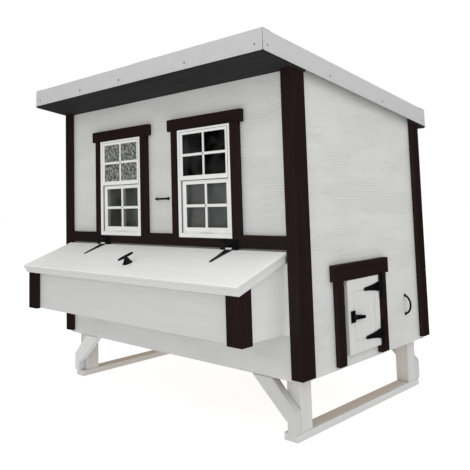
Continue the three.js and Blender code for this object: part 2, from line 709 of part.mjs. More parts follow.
for (const [word, side] of [["left", -1], ["right", 1]]) {
  legFrame(`leg_frame_${word}`, side);
  legBrace(`leg_brace_front_${word}`, side, LEG_FRONT);
  legBrace(`leg_brace_rear_${word}`, side, LEG_REAR - BRACE_THICK);
  cornerTrim(`corner_trim_front_${word}`, side, false);
  cornerTrim(`corner_trim_rear_${word}`, side, true);
  windowCasing(`window_casing_${word}`, side * WINDOW_X);
  windowUnit(word, side * WINDOW_X);
  nestTrim(`nest_trim_${word}`, side);
  lidHinge(word, side * 416.5 + 5.5);
  rakeFlashing(`roof_flashing_${word}`, side);
}
floor();
wallFront();
wallRear();
wallSide("wall_left", -1, ACCESS);
wallSide("wall_right", 1, POP);
bandBoard();
nestBox();
nestDividers();
nestLid();
lidHandle();
popDoor();
doorCasing("pop_casing", 1, POP_CASING);
sideHinge("pop", "upper", 1, POP.rear + 1.5, 480);
sideHinge("pop", "lower", 1, POP.rear + 1.5, 296);
popLatch();
catches();
accessDoor();
doorCasing("access_casing", -1, ACCESS_CASING);
sideHinge("access", "upper", -1, ACCESS.rear + 1.5, ACCESS.top - 110);
sideHinge("access", "lower", -1, ACCESS.rear + 1.5, ACCESS.bottom + 110);
accessHandle();
roostRack();
roofFrame();
roofCover();
eaveFlashing("roof_flashing_front", ROOF.front, 1);
eaveFlashing("roof_flashing_rear", ROOF.rear, -1);

const bounds = new THREE.Box3().setFromObject(coop);
const centre = bounds.getCenter(new THREE.Vector3());
coop.position.set(-centre.x, -centre.y, -bounds.min.z);
coop.updateMatrixWorld(true);

export default coop;
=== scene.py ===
import json
import math
import random

import bmesh
import bpy
from mathutils import Matrix, Vector


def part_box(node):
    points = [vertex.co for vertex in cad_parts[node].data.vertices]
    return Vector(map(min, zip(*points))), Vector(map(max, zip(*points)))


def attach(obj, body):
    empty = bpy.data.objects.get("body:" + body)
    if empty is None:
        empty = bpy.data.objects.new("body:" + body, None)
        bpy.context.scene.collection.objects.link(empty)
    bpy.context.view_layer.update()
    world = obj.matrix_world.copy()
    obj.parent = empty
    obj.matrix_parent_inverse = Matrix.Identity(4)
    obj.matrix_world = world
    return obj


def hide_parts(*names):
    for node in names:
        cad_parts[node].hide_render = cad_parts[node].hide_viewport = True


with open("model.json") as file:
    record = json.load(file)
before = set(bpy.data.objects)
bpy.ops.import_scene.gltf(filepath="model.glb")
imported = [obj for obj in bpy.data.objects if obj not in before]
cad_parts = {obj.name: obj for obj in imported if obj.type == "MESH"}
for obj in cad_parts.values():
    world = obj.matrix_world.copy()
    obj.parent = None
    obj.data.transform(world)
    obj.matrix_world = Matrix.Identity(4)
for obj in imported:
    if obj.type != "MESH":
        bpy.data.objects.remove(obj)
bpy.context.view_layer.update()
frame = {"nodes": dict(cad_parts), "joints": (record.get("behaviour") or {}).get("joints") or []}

# ------------------------------------------------------------------ places taken from the frame

HOUSE_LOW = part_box("corner_trim_front_left")[0]
HOUSE_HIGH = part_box("corner_trim_rear_right")[1]
FACE_Y = HOUSE_LOW.y                     # front faces of the front corner boards
MIDDLE_X = (HOUSE_LOW.x + HOUSE_HIGH.x) / 2
GAP = 0.0003                             # between two boards that butt

ROOF_SLOPE = 0.1648                      # fall towards the back
ROOF_FRAME_THICK = 0.070
ROOF_LOW, ROOF_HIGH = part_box("roof_frame")
SHINGLE_LOW, SHINGLE_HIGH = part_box("roof_shingles")
FLASHING_FOOT = 0.006                    # lower edge of the edge metal above the roof's underside
FLASHING_TOP = 0.0851
FLASHING_LIP = 0.006                     # how far its box reaches past its upright face

LID_ANGLE = math.atan(0.351)              # the lid's rise over its run
LID_THICK = 0.038
PLATE_BELOW_PIN = 0.0015                 # a hinge plate's face lies this far under its pin's centre

JOINTS = {joint["name"]: joint for joint in frame["joints"]}
DRAWS = random.Random(11)


def roof_height(y, above):
    """Height of the plane that lies a distance above the roof's underside."""
    return ROOF_HIGH.z - ROOF_FRAME_THICK - ROOF_SLOPE * (y - ROOF_LOW.y) + above


# ------------------------------------------------------------------ materials

def colour(red, green, blue):
    """An sRGB colour in 0..255 as the linear colour that a shader takes."""
    def linear(value):
        share = value / 255
        return share / 12.92 if share <= 0.04045 else ((share + 0.055) / 1.055) ** 2.4
    return (linear(red), linear(green), linear(blue), 1)


class Graph:
    """A material's nodes, with short ways to add and link them."""

    def __init__(self, name):
        self.material = bpy.data.materials.new(name)
        self.material.use_nodes = True
        self.tree = self.material.node_tree
        self.shader = self.tree.nodes["Principled BSDF"]
        self.output = self.tree.nodes["Material Output"]

    def add(self, kind, settings=None, **inputs):
        node = self.tree.nodes.new(kind)
        for key, value in (settings or {}).items():
            setattr(node, key, value)
        for key, value in inputs.items():
            self.feed(node, key.replace("_", " "), value)
        return node

    def feed(self, node, key, value):
        numbered = key.startswith("in") and key[2:].isdigit()
        socket = node.inputs[int(key[2:])] if numbered else node.inputs[key]
        if isinstance(value, bpy.types.NodeSocket):
            self.tree.links.new(value, socket)
        else:
            socket.default_value = value

    def place(self, scale, turn=(0, 0, 0)):
        """Object coordinates, turned and then stretched."""
        where = self.add("ShaderNodeTexCoord").outputs["Object"]
        if any(turn):
            where = self.add("ShaderNodeMapping", Vector=where, Rotation=turn).outputs[0]
        return self.add("ShaderNodeMapping", Vector=where, Scale=scale).outputs[0]

    def noise(self, where, scale, detail=3.0, rough=0.55, distort=0.0):
        node = self.add("ShaderNodeTexNoise", Vector=where, Scale=scale, Detail=detail,
                        Roughness=rough, Distortion=distort)
        return node.outputs["Fac"]

    def math(self, operation, a, b=0.0):
        return self.add("ShaderNodeMath", {"operation": operation}, in0=a, in1=b).outputs[0]

    def remap(self, value, low, high, to_low=0.0, to_high=1.0):
        node = self.add("ShaderNodeMapRange", Value=value)
        for key, number in (("From Min", low), ("From Max", high), ("To Min", to_low), ("To Max", to_high)):
            node.inputs[key].default_value = number
        return node.outputs[0]

    def mix(self, share, a, b, blend="MIX"):
        node = self.add("ShaderNodeMix", {"data_type": "RGBA", "blend_type": blend})
        self.feed(node, "in0", share)
        self.feed(node, "in6", a)
        self.feed(node, "in7", b)
        return node.outputs[2]

    def bump(self, height, depth, strength=1.0, under=None):
        node = self.add("ShaderNodeBump", Height=height, Distance=depth, Strength=strength)
        if under is not None:
            self.feed(node, "Normal", under)
        return node.outputs[0]

    def finish(self, **inputs):
        for key, value in inputs.items():
            self.feed(self.shader, key.replace("_", " "), value)
        return self.material


GRAINS = {"x": (1, 14, 14), "y": (14, 1, 14), "z": (14, 14, 1), "xy": (1, 1, 14)}


def flame_figure(g, ridge, turn, figure):
    """Lowers the ridges along flame-shaped rings, in patches, and along short furrows."""
    ridge = g.math("ADD", g.math("MULTIPLY", ridge, 0.45), 0.30)
    rings = g.add("ShaderNodeTexWave", {"bands_direction": "Z", "wave_profile": "SIN"},
                  Vector=g.place((0.9, 0.9, 5.2), turn), Scale=7.0, Distortion=9.0, Detail=3.0)
    rings.inputs["Detail Scale"].default_value = 0.6
    lines = g.math("POWER", rings.outputs["Fac"], 5.0)
    patch = g.remap(g.noise(g.place((1, 1, 3)), 3.4, 2.0), 0.48, 0.60)
    ridge = g.math("ADD", ridge, g.math("MULTIPLY", g.math("MULTIPLY", lines, patch), -figure))
    furrow = g.noise(g.place((1, 1, 11)), 9.0, 5.0, 0.7, 0.6)
    scratch = g.remap(furrow, 0.60, 0.70)
    return g.math("ADD", ridge, g.math("MULTIPLY", scratch, -0.30))


def painted_wood(name, paint, grain, fibre, depth, rough, stain=0.05, turn=(0, 0, 0), figure=0.0, shine=0.35):
    """Paint over wood whose embossed fibres run along the grain; figure adds flame-shaped rings."""
    g = Graph(name)
    where = g.place(GRAINS[grain], turn)
    plain = g.place((1, 1, 1))
    fine = g.noise(where, fibre, 4.0, 0.6, 0.35)
    broad = g.noise(where, fibre * 0.22, 3.0, 0.5, 0.8)
    ridge = g.math("ADD", g.math("MULTIPLY", fine, 0.6), g.math("MULTIPLY", broad, 0.5))
    if figure:
        ridge = flame_figure(g, ridge, turn, figure)
    cloud = g.noise(plain, 3.1, 3.0, 0.6)
    dull = tuple(c * (1 - stain * 2.2) for c in paint[:3]) + (1,)
    shade = g.mix(g.remap(ridge, 0.38, 0.75), dull, paint)
    shade = g.mix(g.math("MULTIPLY", g.remap(cloud, 0.35, 0.7), stain * 2), shade, dull)
    gloss = g.remap(fine, 0.3, 0.75, rough + 0.1, rough - 0.06)
    g.shader.inputs["Specular IOR Level"].default_value = shine
    speck = g.noise(plain, 420.0, 2.0)
    normal = g.bump(speck, 0.00012, 0.5)
    normal = g.bump(ridge, depth, 0.8, normal)
    return g.finish(Base_Color=shade, Roughness=gloss, Normal=normal)


def bare_wood(name, light, dark, grain):
    """Planed pine: growth rings drawn out along the grain, fine pores and a few knots."""
    g = Graph(name)
    where = g.place(GRAINS[grain])
    rings = g.noise(where, 3.4, 3.0, 0.5, 1.6)
    bands = g.add("ShaderNodeTexWave", {"bands_direction": "DIAGONAL"}, Vector=where, Scale=1.1,
                  Distortion=6.0, Detail=2.0)
    pores = g.noise(where, 34.0, 3.0, 0.7)
    share = g.math("ADD", g.math("MULTIPLY", bands.outputs["Fac"], 0.6), g.math("MULTIPLY", rings, 0.5))
    shade = g.mix(g.remap(share, 0.25, 0.95), light, dark)
    shade = g.mix(g.remap(pores, 0.55, 0.8, 0, 0.35), shade, dark)
    knots = g.add("ShaderNodeTexVoronoi", Vector=g.place((3.1, 3.1, 3.1)), Scale=1.0)
    knot = g.remap(knots.outputs["Distance"], 0.045, 0.02)
    deep = tuple(c * 0.35 for c in dark[:3]) + (1,)
    shade = g.mix(knot, shade, deep)
    return g.finish(Base_Color=shade, Roughness=g.remap(pores, 0.3, 0.8, 0.62, 0.8),
                    Normal=g.bump(pores, 0.0004, 0.6))


def coated_metal(name, paint, rough, ripple, grit, metal=0.0, chip=None, shine=0.5):
    """Paint or powder coat on metal: slow ripples in the sheet and a fine grit in the coat."""
    g = Graph(name)
    g.shader.inputs["Specular IOR Level"].default_value = shine
    plain = g.place((1, 1, 1))
    slow = g.noise(plain, 5.0, 2.0)
    fine = g.noise(plain, 900.0, 2.0)
    smear = g.noise(g.place((1, 1, 3)), 12.0, 4.0, 0.65)
    dull = tuple(c * 0.86 for c in paint[:3]) + (1,)
    shade = g.mix(g.remap(smear, 0.35, 0.75, 0, 0.5), paint, dull)
    if chip:
        edge = g.remap(g.add("ShaderNodeNewGeometry").outputs["Pointiness"], 0.53, 0.6)
        worn = g.math("MULTIPLY", edge, g.remap(g.noise(plain, 160.0, 3.0), 0.45, 0.6))
        shade = g.mix(worn, shade, chip)
    normal = g.bump(fine, grit, 0.5)
    normal = g.bump(slow, ripple, 0.6, normal)
    return g.finish(Base_Color=shade, Roughness=g.remap(smear, 0.3, 0.8, rough - 0.05, rough + 0.1),
                    Metallic=metal, Normal=normal)


def moulded_vinyl(name, paint):
    """Smooth plastic with a slight sheen and slow changes of tone."""
    g = Graph(name)
    plain = g.place((1, 1, 1))
    slow = g.noise(plain, 14.0, 3.0)
    fine = g.noise(plain, 600.0, 2.0)
    dull = tuple(c * 0.93 for c in paint[:3]) + (1,)
    shade = g.mix(g.remap(slow, 0.35, 0.7), paint, dull)
    g.shader.inputs["Coat Weight"].default_value = 0.15
    return g.finish(Base_Color=shade, Roughness=g.remap(slow, 0.3, 0.7, 0.3, 0.42),
                    Normal=g.bump(fine, 0.00008, 0.4))


def clear_glass(name, tint, dust_and_reflection, even_dust_and_reflection=0.0, grain=11.0):
    """Thin glass: straight-through light with a mirror coat by angle, and a diffuse layer of dust and painted
    reflection, in patches over an even share.
    """
    g = Graph(name)
    plain = g.place((1, 1, 1))
    # a diffuse layer that is partly dust and partly painted reflection: patches from noise over an even share
    dust_and_reflection_share = g.remap(g.noise(plain, grain, 4.0, 0.6), 0.42, 0.72, even_dust_and_reflection, even_dust_and_reflection + dust_and_reflection)
    glow = g.add("ShaderNodeBsdfGlossy", Color=(1, 1, 1, 1), Roughness=0.03)
    through = g.add("ShaderNodeBsdfTransparent", Color=tint)
    dust_and_reflection_coat = g.add("ShaderNodeBsdfDiffuse", Color=(0.6, 0.6, 0.58, 1))
    wave = g.bump(g.noise(plain, 3.0, 1.0), 0.0006, 0.4)
    g.feed(glow, "Normal", wave)
    angle = g.add("ShaderNodeFresnel", IOR=1.25)
    first = g.add("ShaderNodeMixShader", in0=angle.outputs[0], in1=through.outputs[0], in2=glow.outputs[0])
    last = g.add("ShaderNodeMixShader", in0=dust_and_reflection_share, in1=first.outputs[0], in2=dust_and_reflection_coat.outputs[0])
    g.feed(g.output, "Surface", last.outputs[0])
    return g.material


def insect_screen(name, wire, pitch, share):
    """Woven wire: two sets of fine wires with open holes between them."""
    g = Graph(name)
    axes = g.add("ShaderNodeSeparateXYZ", Vector=g.place((1 / pitch, 1 / pitch, 1 / pitch))).outputs
    lines = [g.math("LESS_THAN", g.math("FRACT", axis), share) for axis in (axes[0], axes[2])]
    solid = g.math("MAXIMUM", *lines)
    tone = g.remap(g.noise(g.place((1, 1, 1)), 60.0, 2.0), 0.3, 0.7, 0.85, 1.1)
    thread = g.add("ShaderNodeBsdfDiffuse", Color=g.mix(1.0, wire, tone, "MULTIPLY"))
    hole = g.add("ShaderNodeBsdfTransparent")
    both = g.add("ShaderNodeMixShader", in0=solid, in1=hole.outputs[0], in2=thread.outputs[0])
    g.feed(g.output, "Surface", both.outputs[0])
    return g.material


def mineral_shingle(name, dark, light):
    """Crushed mineral granules on bitumen, with a tone for each tab."""
    g = Graph(name)
    plain = g.place((1, 1, 1))
    cells = g.add("ShaderNodeTexVoronoi", Vector=plain, Scale=520.0)
    grain = g.remap(g.add("ShaderNodeSeparateColor", Color=cells.outputs["Color"]).outputs[0], 0.2, 0.9)
    shade = g.mix(grain, dark, light)
    tone = g.add("ShaderNodeAttribute", {"attribute_name": "tone"}).outputs["Fac"]
    patch = g.noise(plain, 9.0, 3.0, 0.6)
    level = g.math("ADD", tone, g.remap(patch, 0.3, 0.7, -0.08, 0.08))
    shade = g.mix(1.0, shade, level, "MULTIPLY")
    height = g.remap(cells.outputs["Distance"], 0.0, 0.6, 1.0, 0.0)
    return g.finish(Base_Color=shade, Roughness=0.93, Normal=g.bump(height, 0.0009, 0.8))


SIDING = painted_wood("siding_paint", colour(205, 205, 204), "xy", 5.5, 0.0016, 0.5, 0.075, figure=0.45)
DOOR_PAINT = painted_wood("door_paint", colour(199, 199, 198), "z", 6.0, 0.0004, 0.45, 0.03)
# The lid's paint in two copies: a lighter one on its top and underside as painted light from above, a darker
# one round its rim as painted shade.
LID_PAINTED_LIGHT = painted_wood("lid_painted_light", colour(225, 225, 224), "x", 4.0, 0.0002, 0.42, 0.02)
LID_RIM_PAINTED_SHADE = painted_wood("lid_rim_painted_shade", colour(201, 201, 200), "x", 4.0, 0.0002, 0.42, 0.02)
# Two copies of one siding paint on the nest box: darker on its front and floor as painted shade, lighter on
# its sides as painted light.
NEST_PAINTED_SHADE = painted_wood("nest_painted_shade", colour(195, 195, 194), "x", 5.0, 0.0006, 0.48, 0.04)
NEST_SIDE_PAINTED_LIGHT = painted_wood("nest_side_painted_light", colour(208, 208, 207), "y", 5.0, 0.0006, 0.48, 0.04)
LUMBER = {axis: painted_wood(f"lumber_paint_{axis}", colour(200, 200, 199), axis, 6.0, 0.0005, 0.5, 0.05)
          for axis in "yz"}
# Two copies of the leg timbers' paint for the braces: a lighter one on the left as painted light, a darker
# one on the right as painted shade.
BRACE_LEFT_PAINTED_LIGHT, BRACE_RIGHT_PAINTED_SHADE = (
    painted_wood(f"lumber_paint_{word}", colour(level, level, level - 1), "z", 6.0, 0.0005, 0.5, 0.05,
                 turn=(0, side * math.radians(45), 0))
    for word, side, level in (("rising_left_painted_light", -1, 212), ("rising_right_painted_shade", 1, 193)))
BROWN = {axis: painted_wood(f"trim_paint_{axis}", colour(40, 23, 22), axis, 6.5, 0.0012, 0.62, 0.2,
                            shine=0.22)
         for axis in "xyz"}
SOFFIT = painted_wood("soffit_stain", colour(49, 48, 49), "x", 5.0, 0.0008, 0.7, 0.14, shine=0.1)
PINE = bare_wood("pine_x", colour(214, 182, 134), colour(168, 124, 78), "x")
PLYWOOD = bare_wood("plywood", colour(206, 172, 126), colour(150, 110, 70), "x")
VINYL = moulded_vinyl("window_vinyl", colour(226, 226, 225))
# dark strips in the window's joints: partly gasket colour, partly painted shadow lines
SEAL_AND_PAINTED_SHADE = moulded_vinyl("window_seal_and_painted_shade", colour(96, 96, 97))
BLACK = coated_metal("black_powder_coat", colour(9, 9, 10), 0.36, 0.0, 0.00025, 0.0, colour(50, 50, 52), 0.25)
FLASHING = coated_metal("white_sheet_metal", colour(186, 186, 186), 0.36, 0.0022, 0.00004)
# The lid hinges' knuckle sleeves are light steel: a painted highlight along the black barrels.
KNUCKLE_PAINTED_HIGHLIGHT = coated_metal("worn_steel", colour(214, 214, 214), 0.3, 0.0, 0.0001)
ZINC = coated_metal("screw_zinc", colour(150, 150, 150), 0.4, 0.0, 0.00005, 0.8)
# The panes' diffuse layer is light dust on most glass; on the left upper pane it is a mottled painted
# reflection.
GLASS = clear_glass("window_glass", (0.70, 0.72, 0.71, 1), 0.04, 0.02)
DARK_GLASS = clear_glass("upper_glass", (0.60, 0.63, 0.62, 1), 0.03)
GLASS_WITH_PAINTED_REFLECTION = clear_glass("mottled_glass", (0.40, 0.43, 0.42, 1), 0.58, 0.06, 70.0)
SCREEN = insect_screen("insect_screen", colour(172, 172, 172), 0.0016, 0.60)
GRANULES = mineral_shingle("mineral_shingle", colour(38, 39, 42), colour(112, 112, 114))

# ------------------------------------------------------------------ mesh helpers


def make(name, mesh, body, materials, replaces=(), sharp=35.0):
    """Turns a bmesh into a piece of the coop."""
    data = bpy.data.meshes.new(name)
    bmesh.ops.recalc_face_normals(mesh, faces=mesh.faces[:])
    mesh.to_mesh(data)
    mesh.free()
    for material in materials:
        data.materials.append(material)
    data.shade_smooth()
    data.set_sharp_from_angle(angle=math.radians(sharp))
    piece = bpy.data.objects.new(name, data)
    bpy.context.scene.collection.objects.link(piece)
    weighted = piece.modifiers.new("even_normals", "WEIGHTED_NORMAL")
    weighted.keep_sharp = True
    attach(piece, body)
    if replaces:
        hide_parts(*replaces)


WELD_DISTANCE = 0.00002
FLAT_ANGLE = math.radians(0.5)           # faces that turn less than this are one flat
ROUNDED_ANGLE = math.radians(32)         # edges that turn more than this are rounded


def dress_node(name, material, bevel=0.0012, steps=2):
    """Gives a carried-over CAD node its material and rounded edges."""
    node = frame["nodes"][name]
    node.data.materials.clear()
    node.data.materials.append(material)
    for face in node.data.polygons:
        face.material_index = 0
    weld = node.modifiers.new("weld", "WELD")
    weld.merge_threshold = WELD_DISTANCE
    flat = node.modifiers.new("merge_flats", "DECIMATE")
    flat.decimate_type = "DISSOLVE"
    flat.angle_limit = FLAT_ANGLE
    if bevel:
        edge = node.modifiers.new("edges", "BEVEL")
        edge.width = bevel
        edge.segments = steps
        edge.limit_method = "ANGLE"
        edge.angle_limit = ROUNDED_ANGLE
        edge.harden_normals = True
        edge.use_clamp_overlap = True


def add_board(mesh, low, high, bevel=0.0012, material=0, steps=2):
    """A sawn board with eased edges, between two corners."""
    before = set(mesh.faces)
    size = Vector(high) - Vector(low)
    middle = (Vector(high) + Vector(low)) / 2
    matrix = Matrix.Translation(middle) @ Matrix.Diagonal((*size, 1))
    made = bmesh.ops.create_cube(mesh, size=1, matrix=matrix)
    edges = {edge for vert in made["verts"] for edge in vert.link_edges}
    bmesh.ops.bevel(mesh, geom=list(edges), offset=min(bevel, min(size) * 0.45), segments=steps,
                    profile=0.5, affect="EDGES", clamp_overlap=True)
    for face in set(mesh.faces) - before:
        face.material_index = material


def add_loops(mesh, loops, cap=True):
    """Joins rings of points with faces; each ring has the same number of points."""
    rings = [[mesh.verts.new(point) for point in loop] for loop in loops]
    count = len(rings[0])
    for lower, upper in zip(rings, rings[1:]):
        for i in range(count):
            j = (i + 1) % count
            mesh.faces.new((lower[i], lower[j], upper[j], upper[i]))
    if cap:
        mesh.faces.new(rings[0][::-1])
        mesh.faces.new(rings[-1])


def add_frame(mesh, low, high, rails, profile):
    """A mitred frame in an upright plane, X across and Z up.

    low and high are its outer corners as (x, z); rails are the widths (left, right, bottom, top);
    profile is a closed outline of (share of the rail's width from the outer edge, y)."""
    left, right, bottom, top = rails
    corners = [
        (low[0], low[1], left, bottom), (high[0], low[1], -right, bottom),
        (high[0], high[1], -right, -top), (low[0], high[1], left, -top),
    ]
    rings = []
    for x, z, across, up in corners:
        rings.append([(x + share * across, y, z + share * up) for share, y in profile])
    add_loops(mesh, rings + [rings[0]], cap=False)
    bmesh.ops.remove_doubles(mesh, verts=mesh.verts[:], dist=1e-6)


CROSS_ARM = 0.55      # a recess takes the points whose sine of twice their angle is below this


def add_lathe(mesh, place, axis, spin, profile, sides, recess=0.0, reach=0.0):
    """A turned solid on an axis; profile is (radius, height) from its foot to its top.

    A recess cuts a cross of that depth into what lies within reach of the axis."""
    axis = Vector(axis).normalized()
    side = Vector(spin) - axis * Vector(spin).dot(axis)
    side.normalize()
    other = axis.cross(side)
    rings = []
    for radius, height in profile:
        ring = []
        for i in range(sides):
            turn = 2 * math.pi * i / sides
            drop = 0.0
            if recess and radius < reach and abs(math.sin(2 * turn)) < CROSS_ARM:
                drop = recess
            point = side * math.cos(turn) * radius + other * math.sin(turn) * radius
            ring.append(Vector(place) + point + axis * (height - drop))
        rings.append(ring)
    add_loops(mesh, rings)


def add_screw(mesh, place, axis, spin, radius=0.0036, height=0.0016):
    """A pan-head screw with a cross recess, its head standing on place."""
    profile = [
        (radius * 0.92, -0.0003), (radius, 0.0001), (radius, height * 0.35), (radius * 0.86, height * 0.72),
        (radius * 0.66, height * 0.93), (radius * 0.55, height), (radius * 0.5, height),
        (radius * 0.2, height), (radius * 0.08, height),
    ]
    turned = Matrix.Rotation(DRAWS.uniform(0, math.pi / 2), 3, Vector(axis)) @ Vector(spin)
    add_lathe(mesh, place, axis, turned, profile, 24, height * 0.75, radius * 0.52)


# ------------------------------------------------------------------ carried-over CAD pieces

for wall in ("wall_front", "wall_rear", "wall_left", "wall_right"):
    dress_node(wall, SIDING, 0.0008)
# painted shade: the nest's front and floor take the darker copy of the paint
for panel in ("nest_front", "nest_floor"):
    dress_node(panel, NEST_PAINTED_SHADE, 0.0012)
# painted light: the nest's sides take the lighter copy of the paint
for word in ("left", "right"):
    dress_node(f"nest_side_{word}", NEST_SIDE_PAINTED_LIGHT, 0.0012)
for corner in ("front_left", "front_right", "rear_left", "rear_right"):
    dress_node(f"corner_trim_{corner}", BROWN["z"], 0.0014)
for word in ("left", "right"):
    dress_node(f"nest_trim_{word}", BROWN["z"], 0.0014)
# the left braces are painted lighter and the right ones darker, as painted light and painted shade
dress_node("leg_brace_front_left", BRACE_LEFT_PAINTED_LIGHT, 0.0025, 3)
dress_node("leg_brace_rear_left", BRACE_LEFT_PAINTED_LIGHT, 0.0025, 3)
dress_node("leg_brace_front_right", BRACE_RIGHT_PAINTED_SHADE, 0.0025, 3)
dress_node("leg_brace_rear_right", BRACE_RIGHT_PAINTED_SHADE, 0.0025, 3)
dress_node("band_board", BROWN["x"], 0.0014)
dress_node("pop_door", DOOR_PAINT, 0.0012)
dress_node("access_door", DOOR_PAINT, 0.0012)
dress_node("roof_frame", SOFFIT, 0.0015)
dress_node("roof_deck", PLYWOOD, 0.0006)
dress_node("floor", PINE, 0.001)
dress_node("nest_dividers", PINE, 0.001)
dress_node("roost_rack", PINE, 0.003, 3)
IRONWORK = [name for name in frame["nodes"] if "_hinge_" in name]
for name in IRONWORK:
    dress_node(name, BLACK, 0.0005)
dress_node("pop_latch_plate", BLACK, 0.0006)
dress_node("pop_latch_lever", BLACK, 0.0008)
for name in ("lid_catch", "pop_door_catch"):
    dress_node(name, BLACK, 0.0003)

# ------------------------------------------------------------------ legs and casings


SKID_THICK = 0.027
POST_INSET = 0.0243      # from the skid's end
POST_DEPTH = 0.064
TIMBER_EDGE = 0.0025
TRIM_EDGE = 0.0014
CASING_WIDTH = 0.042


def leg_frame(word):
    """A flat skid and two posts, each its own timber."""
    low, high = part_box(f"leg_frame_{word}")
    skid_top = low.z + SKID_THICK
    posts = [low.y + POST_INSET, high.y - POST_INSET - POST_DEPTH]
    mesh = bmesh.new()
    add_board(mesh, low, (high.x, high.y, skid_top), TIMBER_EDGE, 0, 3)
    for y in posts:
        add_board(mesh, (low.x, y, skid_top + GAP), (high.x, y + POST_DEPTH, high.z), TIMBER_EDGE, 1, 3)
    make(f"leg_timbers_{word}", mesh, "coop", [LUMBER["y"], LUMBER["z"]],
         [f"leg_frame_{word}"])


def window_casing(word):
    """Two side boards butted under a head board that stands a little proud."""
    low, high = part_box(f"window_casing_{word}")
    window_low, window_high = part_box(f"window_frame_{word}")
    top = window_high.z + GAP
    mesh = bmesh.new()
    for x0, x1 in ((window_low.x - CASING_WIDTH, window_low.x - GAP),
                   (window_high.x + GAP, window_high.x + CASING_WIDTH)):
        add_board(mesh, (x0, FACE_Y, low.z), (x1, high.y, top - GAP), TRIM_EDGE, 0)
    add_board(mesh, (low.x, low.y, top), (high.x, high.y, high.z), TRIM_EDGE, 1)
    make(f"casing_boards_{word}", mesh, "coop", [BROWN["z"], BROWN["x"]],
         [f"window_casing_{word}"])


def door_casing(node, widths, ears, head=0.061):
    """The same around a side door, with side boards that run down to the wall's edge.

    widths are the side boards' and ears how far the head passes them, both front then rear."""
    low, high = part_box(node)
    neck = high.z - head
    proud = 0.003
    faces_right = low.x > MIDDLE_X
    flat = (low.x, high.x - proud) if faces_right else (low.x + proud, high.x)
    mesh = bmesh.new()
    front = low.y + ears[0]
    rear = high.y - ears[1]
    add_board(mesh, (flat[0], front, low.z), (flat[1], front + widths[0], neck - GAP), TRIM_EDGE, 0)
    add_board(mesh, (flat[0], rear - widths[1], low.z), (flat[1], rear, neck - GAP), TRIM_EDGE, 0)
    add_board(mesh, (low.x, low.y, neck), high, TRIM_EDGE, 1)
    make(f"{node}_boards", mesh, "coop", [BROWN["z"], BROWN["y"]], [node])


for word in ("left", "right"):
    leg_frame(word)
    window_casing(word)
door_casing("pop_casing", (0.045, 0.056), (0.018, 0.017))
door_casing("access_casing", (0.040, 0.040), (0.012, 0.014))

# ------------------------------------------------------------------ windows

# Depths in this section are from the front face of a window's frame, except where a sash's are given.
JAMB = 0.014             # widths of the frame's front face: sides, bottom and top
SILL = 0.016
HEAD = 0.010
FRAME_DEPTH = 0.045
SPLIT = 0.234            # underside of the upper sash above the frame's
PANE = 0.003
UPPER_RAILS = (0.0150, 0.0150, 0.018, 0.012)      # left, right, bottom, top
UPPER_DEPTHS = (0.0015, 0.0095)
UPPER_PANE = 0.0065
LOWER_RAILS = (0.021, 0.021, 0.023, 0.024)
LOWER_FRONT = 0.0105
LOWER_THICK = 0.012
LOWER_PANE = 0.007       # from the sash's own front
LAP = 0.0002             # how far a strip runs into the jambs


def step_profile(front, rear, lip):
    """A sash rail's outline: rounded outer edge, a small step and a sloped glazing bead."""
    return [
        (0.0, rear), (0.0, front + 0.0012), (0.06, front), (0.55, front), (0.62, front + lip),
        (0.84, front + lip * 1.2), (1.0, front + lip * 2.6), (1.0, rear - 0.002), (0.94, rear),
    ]


def add_bars(mesh, low, high, front, rear):
    """One upright and one level glazing bar with chamfered faces."""
    middle_x = (low[0] + high[0]) / 2
    middle_z = (low[1] + high[1]) / 2
    half, chamfer = 0.006, 0.0022
    section = [(-half, rear), (-half, front + chamfer), (-half + chamfer, front),
               (half - chamfer, front), (half, front + chamfer), (half, rear)]
    add_loops(mesh, [[(middle_x + u, y, z) for u, y in section] for z in (low[1], high[1])])
    add_loops(mesh, [[(x, y, middle_z + u) for u, y in section] for x in (low[0], high[0])])


def sash(mesh, low, high, rails, front, rear):
    """A sash with its glazing bars; returns the corners of its daylight opening."""
    add_frame(mesh, low, high, rails, step_profile(front, rear, 0.0012))
    left, right, bottom, top = rails
    inner_low = (low[0] + left, low[1] + bottom)
    inner_high = (high[0] - right, high[1] - top)
    lap = 0.0005
    add_bars(mesh, (inner_low[0] - lap, inner_low[1] - lap), (inner_high[0] + lap, inner_high[1] + lap),
             front + 0.002, rear - 0.002)
    return inner_low, inner_high


def pane(name, low, high, y, body, glass):
    """A sheet of glass whose edges run into the sash round its opening."""
    mesh = bmesh.new()
    edge = 0.002
    add_board(mesh, (low[0] - edge, y - PANE / 2, low[1] - edge),
              (high[0] + edge, y + PANE / 2, high[1] + edge), 0.0004, 0, 1)
    make(name, mesh, body, [glass])


def add_sill_ramp(mesh, left, right, y, z):
    """The slope from the frame's front to the foot of the lower sash."""
    ramp = [(0.0034, 0.0155), (0.0100, 0.0155), (0.0100, 0.0190), (0.0044, 0.0168)]
    add_loops(mesh, [[(x, y + back, z + up) for back, up in ramp] for x in (left - LAP, right + LAP)])


def add_seals(mesh, left, right, y, bottom, split, top):
    """Dark strips beside the lower sash, under the upper one and round the upper one: partly gaskets and
    partly painted shadow lines in the joints.
    """
    wide = 0.003
    for x0, x1 in ((left - LAP, left + wide), (right - wide, right + LAP)):
        add_board(mesh, (x0, y + 0.0068, bottom), (x1, y + 0.0098, split), 0.0006, 1)
    add_board(mesh, (left, y + 0.0068, split - wide), (right, y + 0.0094, split + 0.002), 0.0006, 1)
    half = 0.0009
    for x in (left, right):
        add_board(mesh, (x - half, y + 0.0015, split + 0.001), (x + half, y + 0.0040, top), 0.0003, 1)
    add_board(mesh, (left, y + 0.0015, top - half), (right, y + 0.0040, top + half), 0.0003, 1)


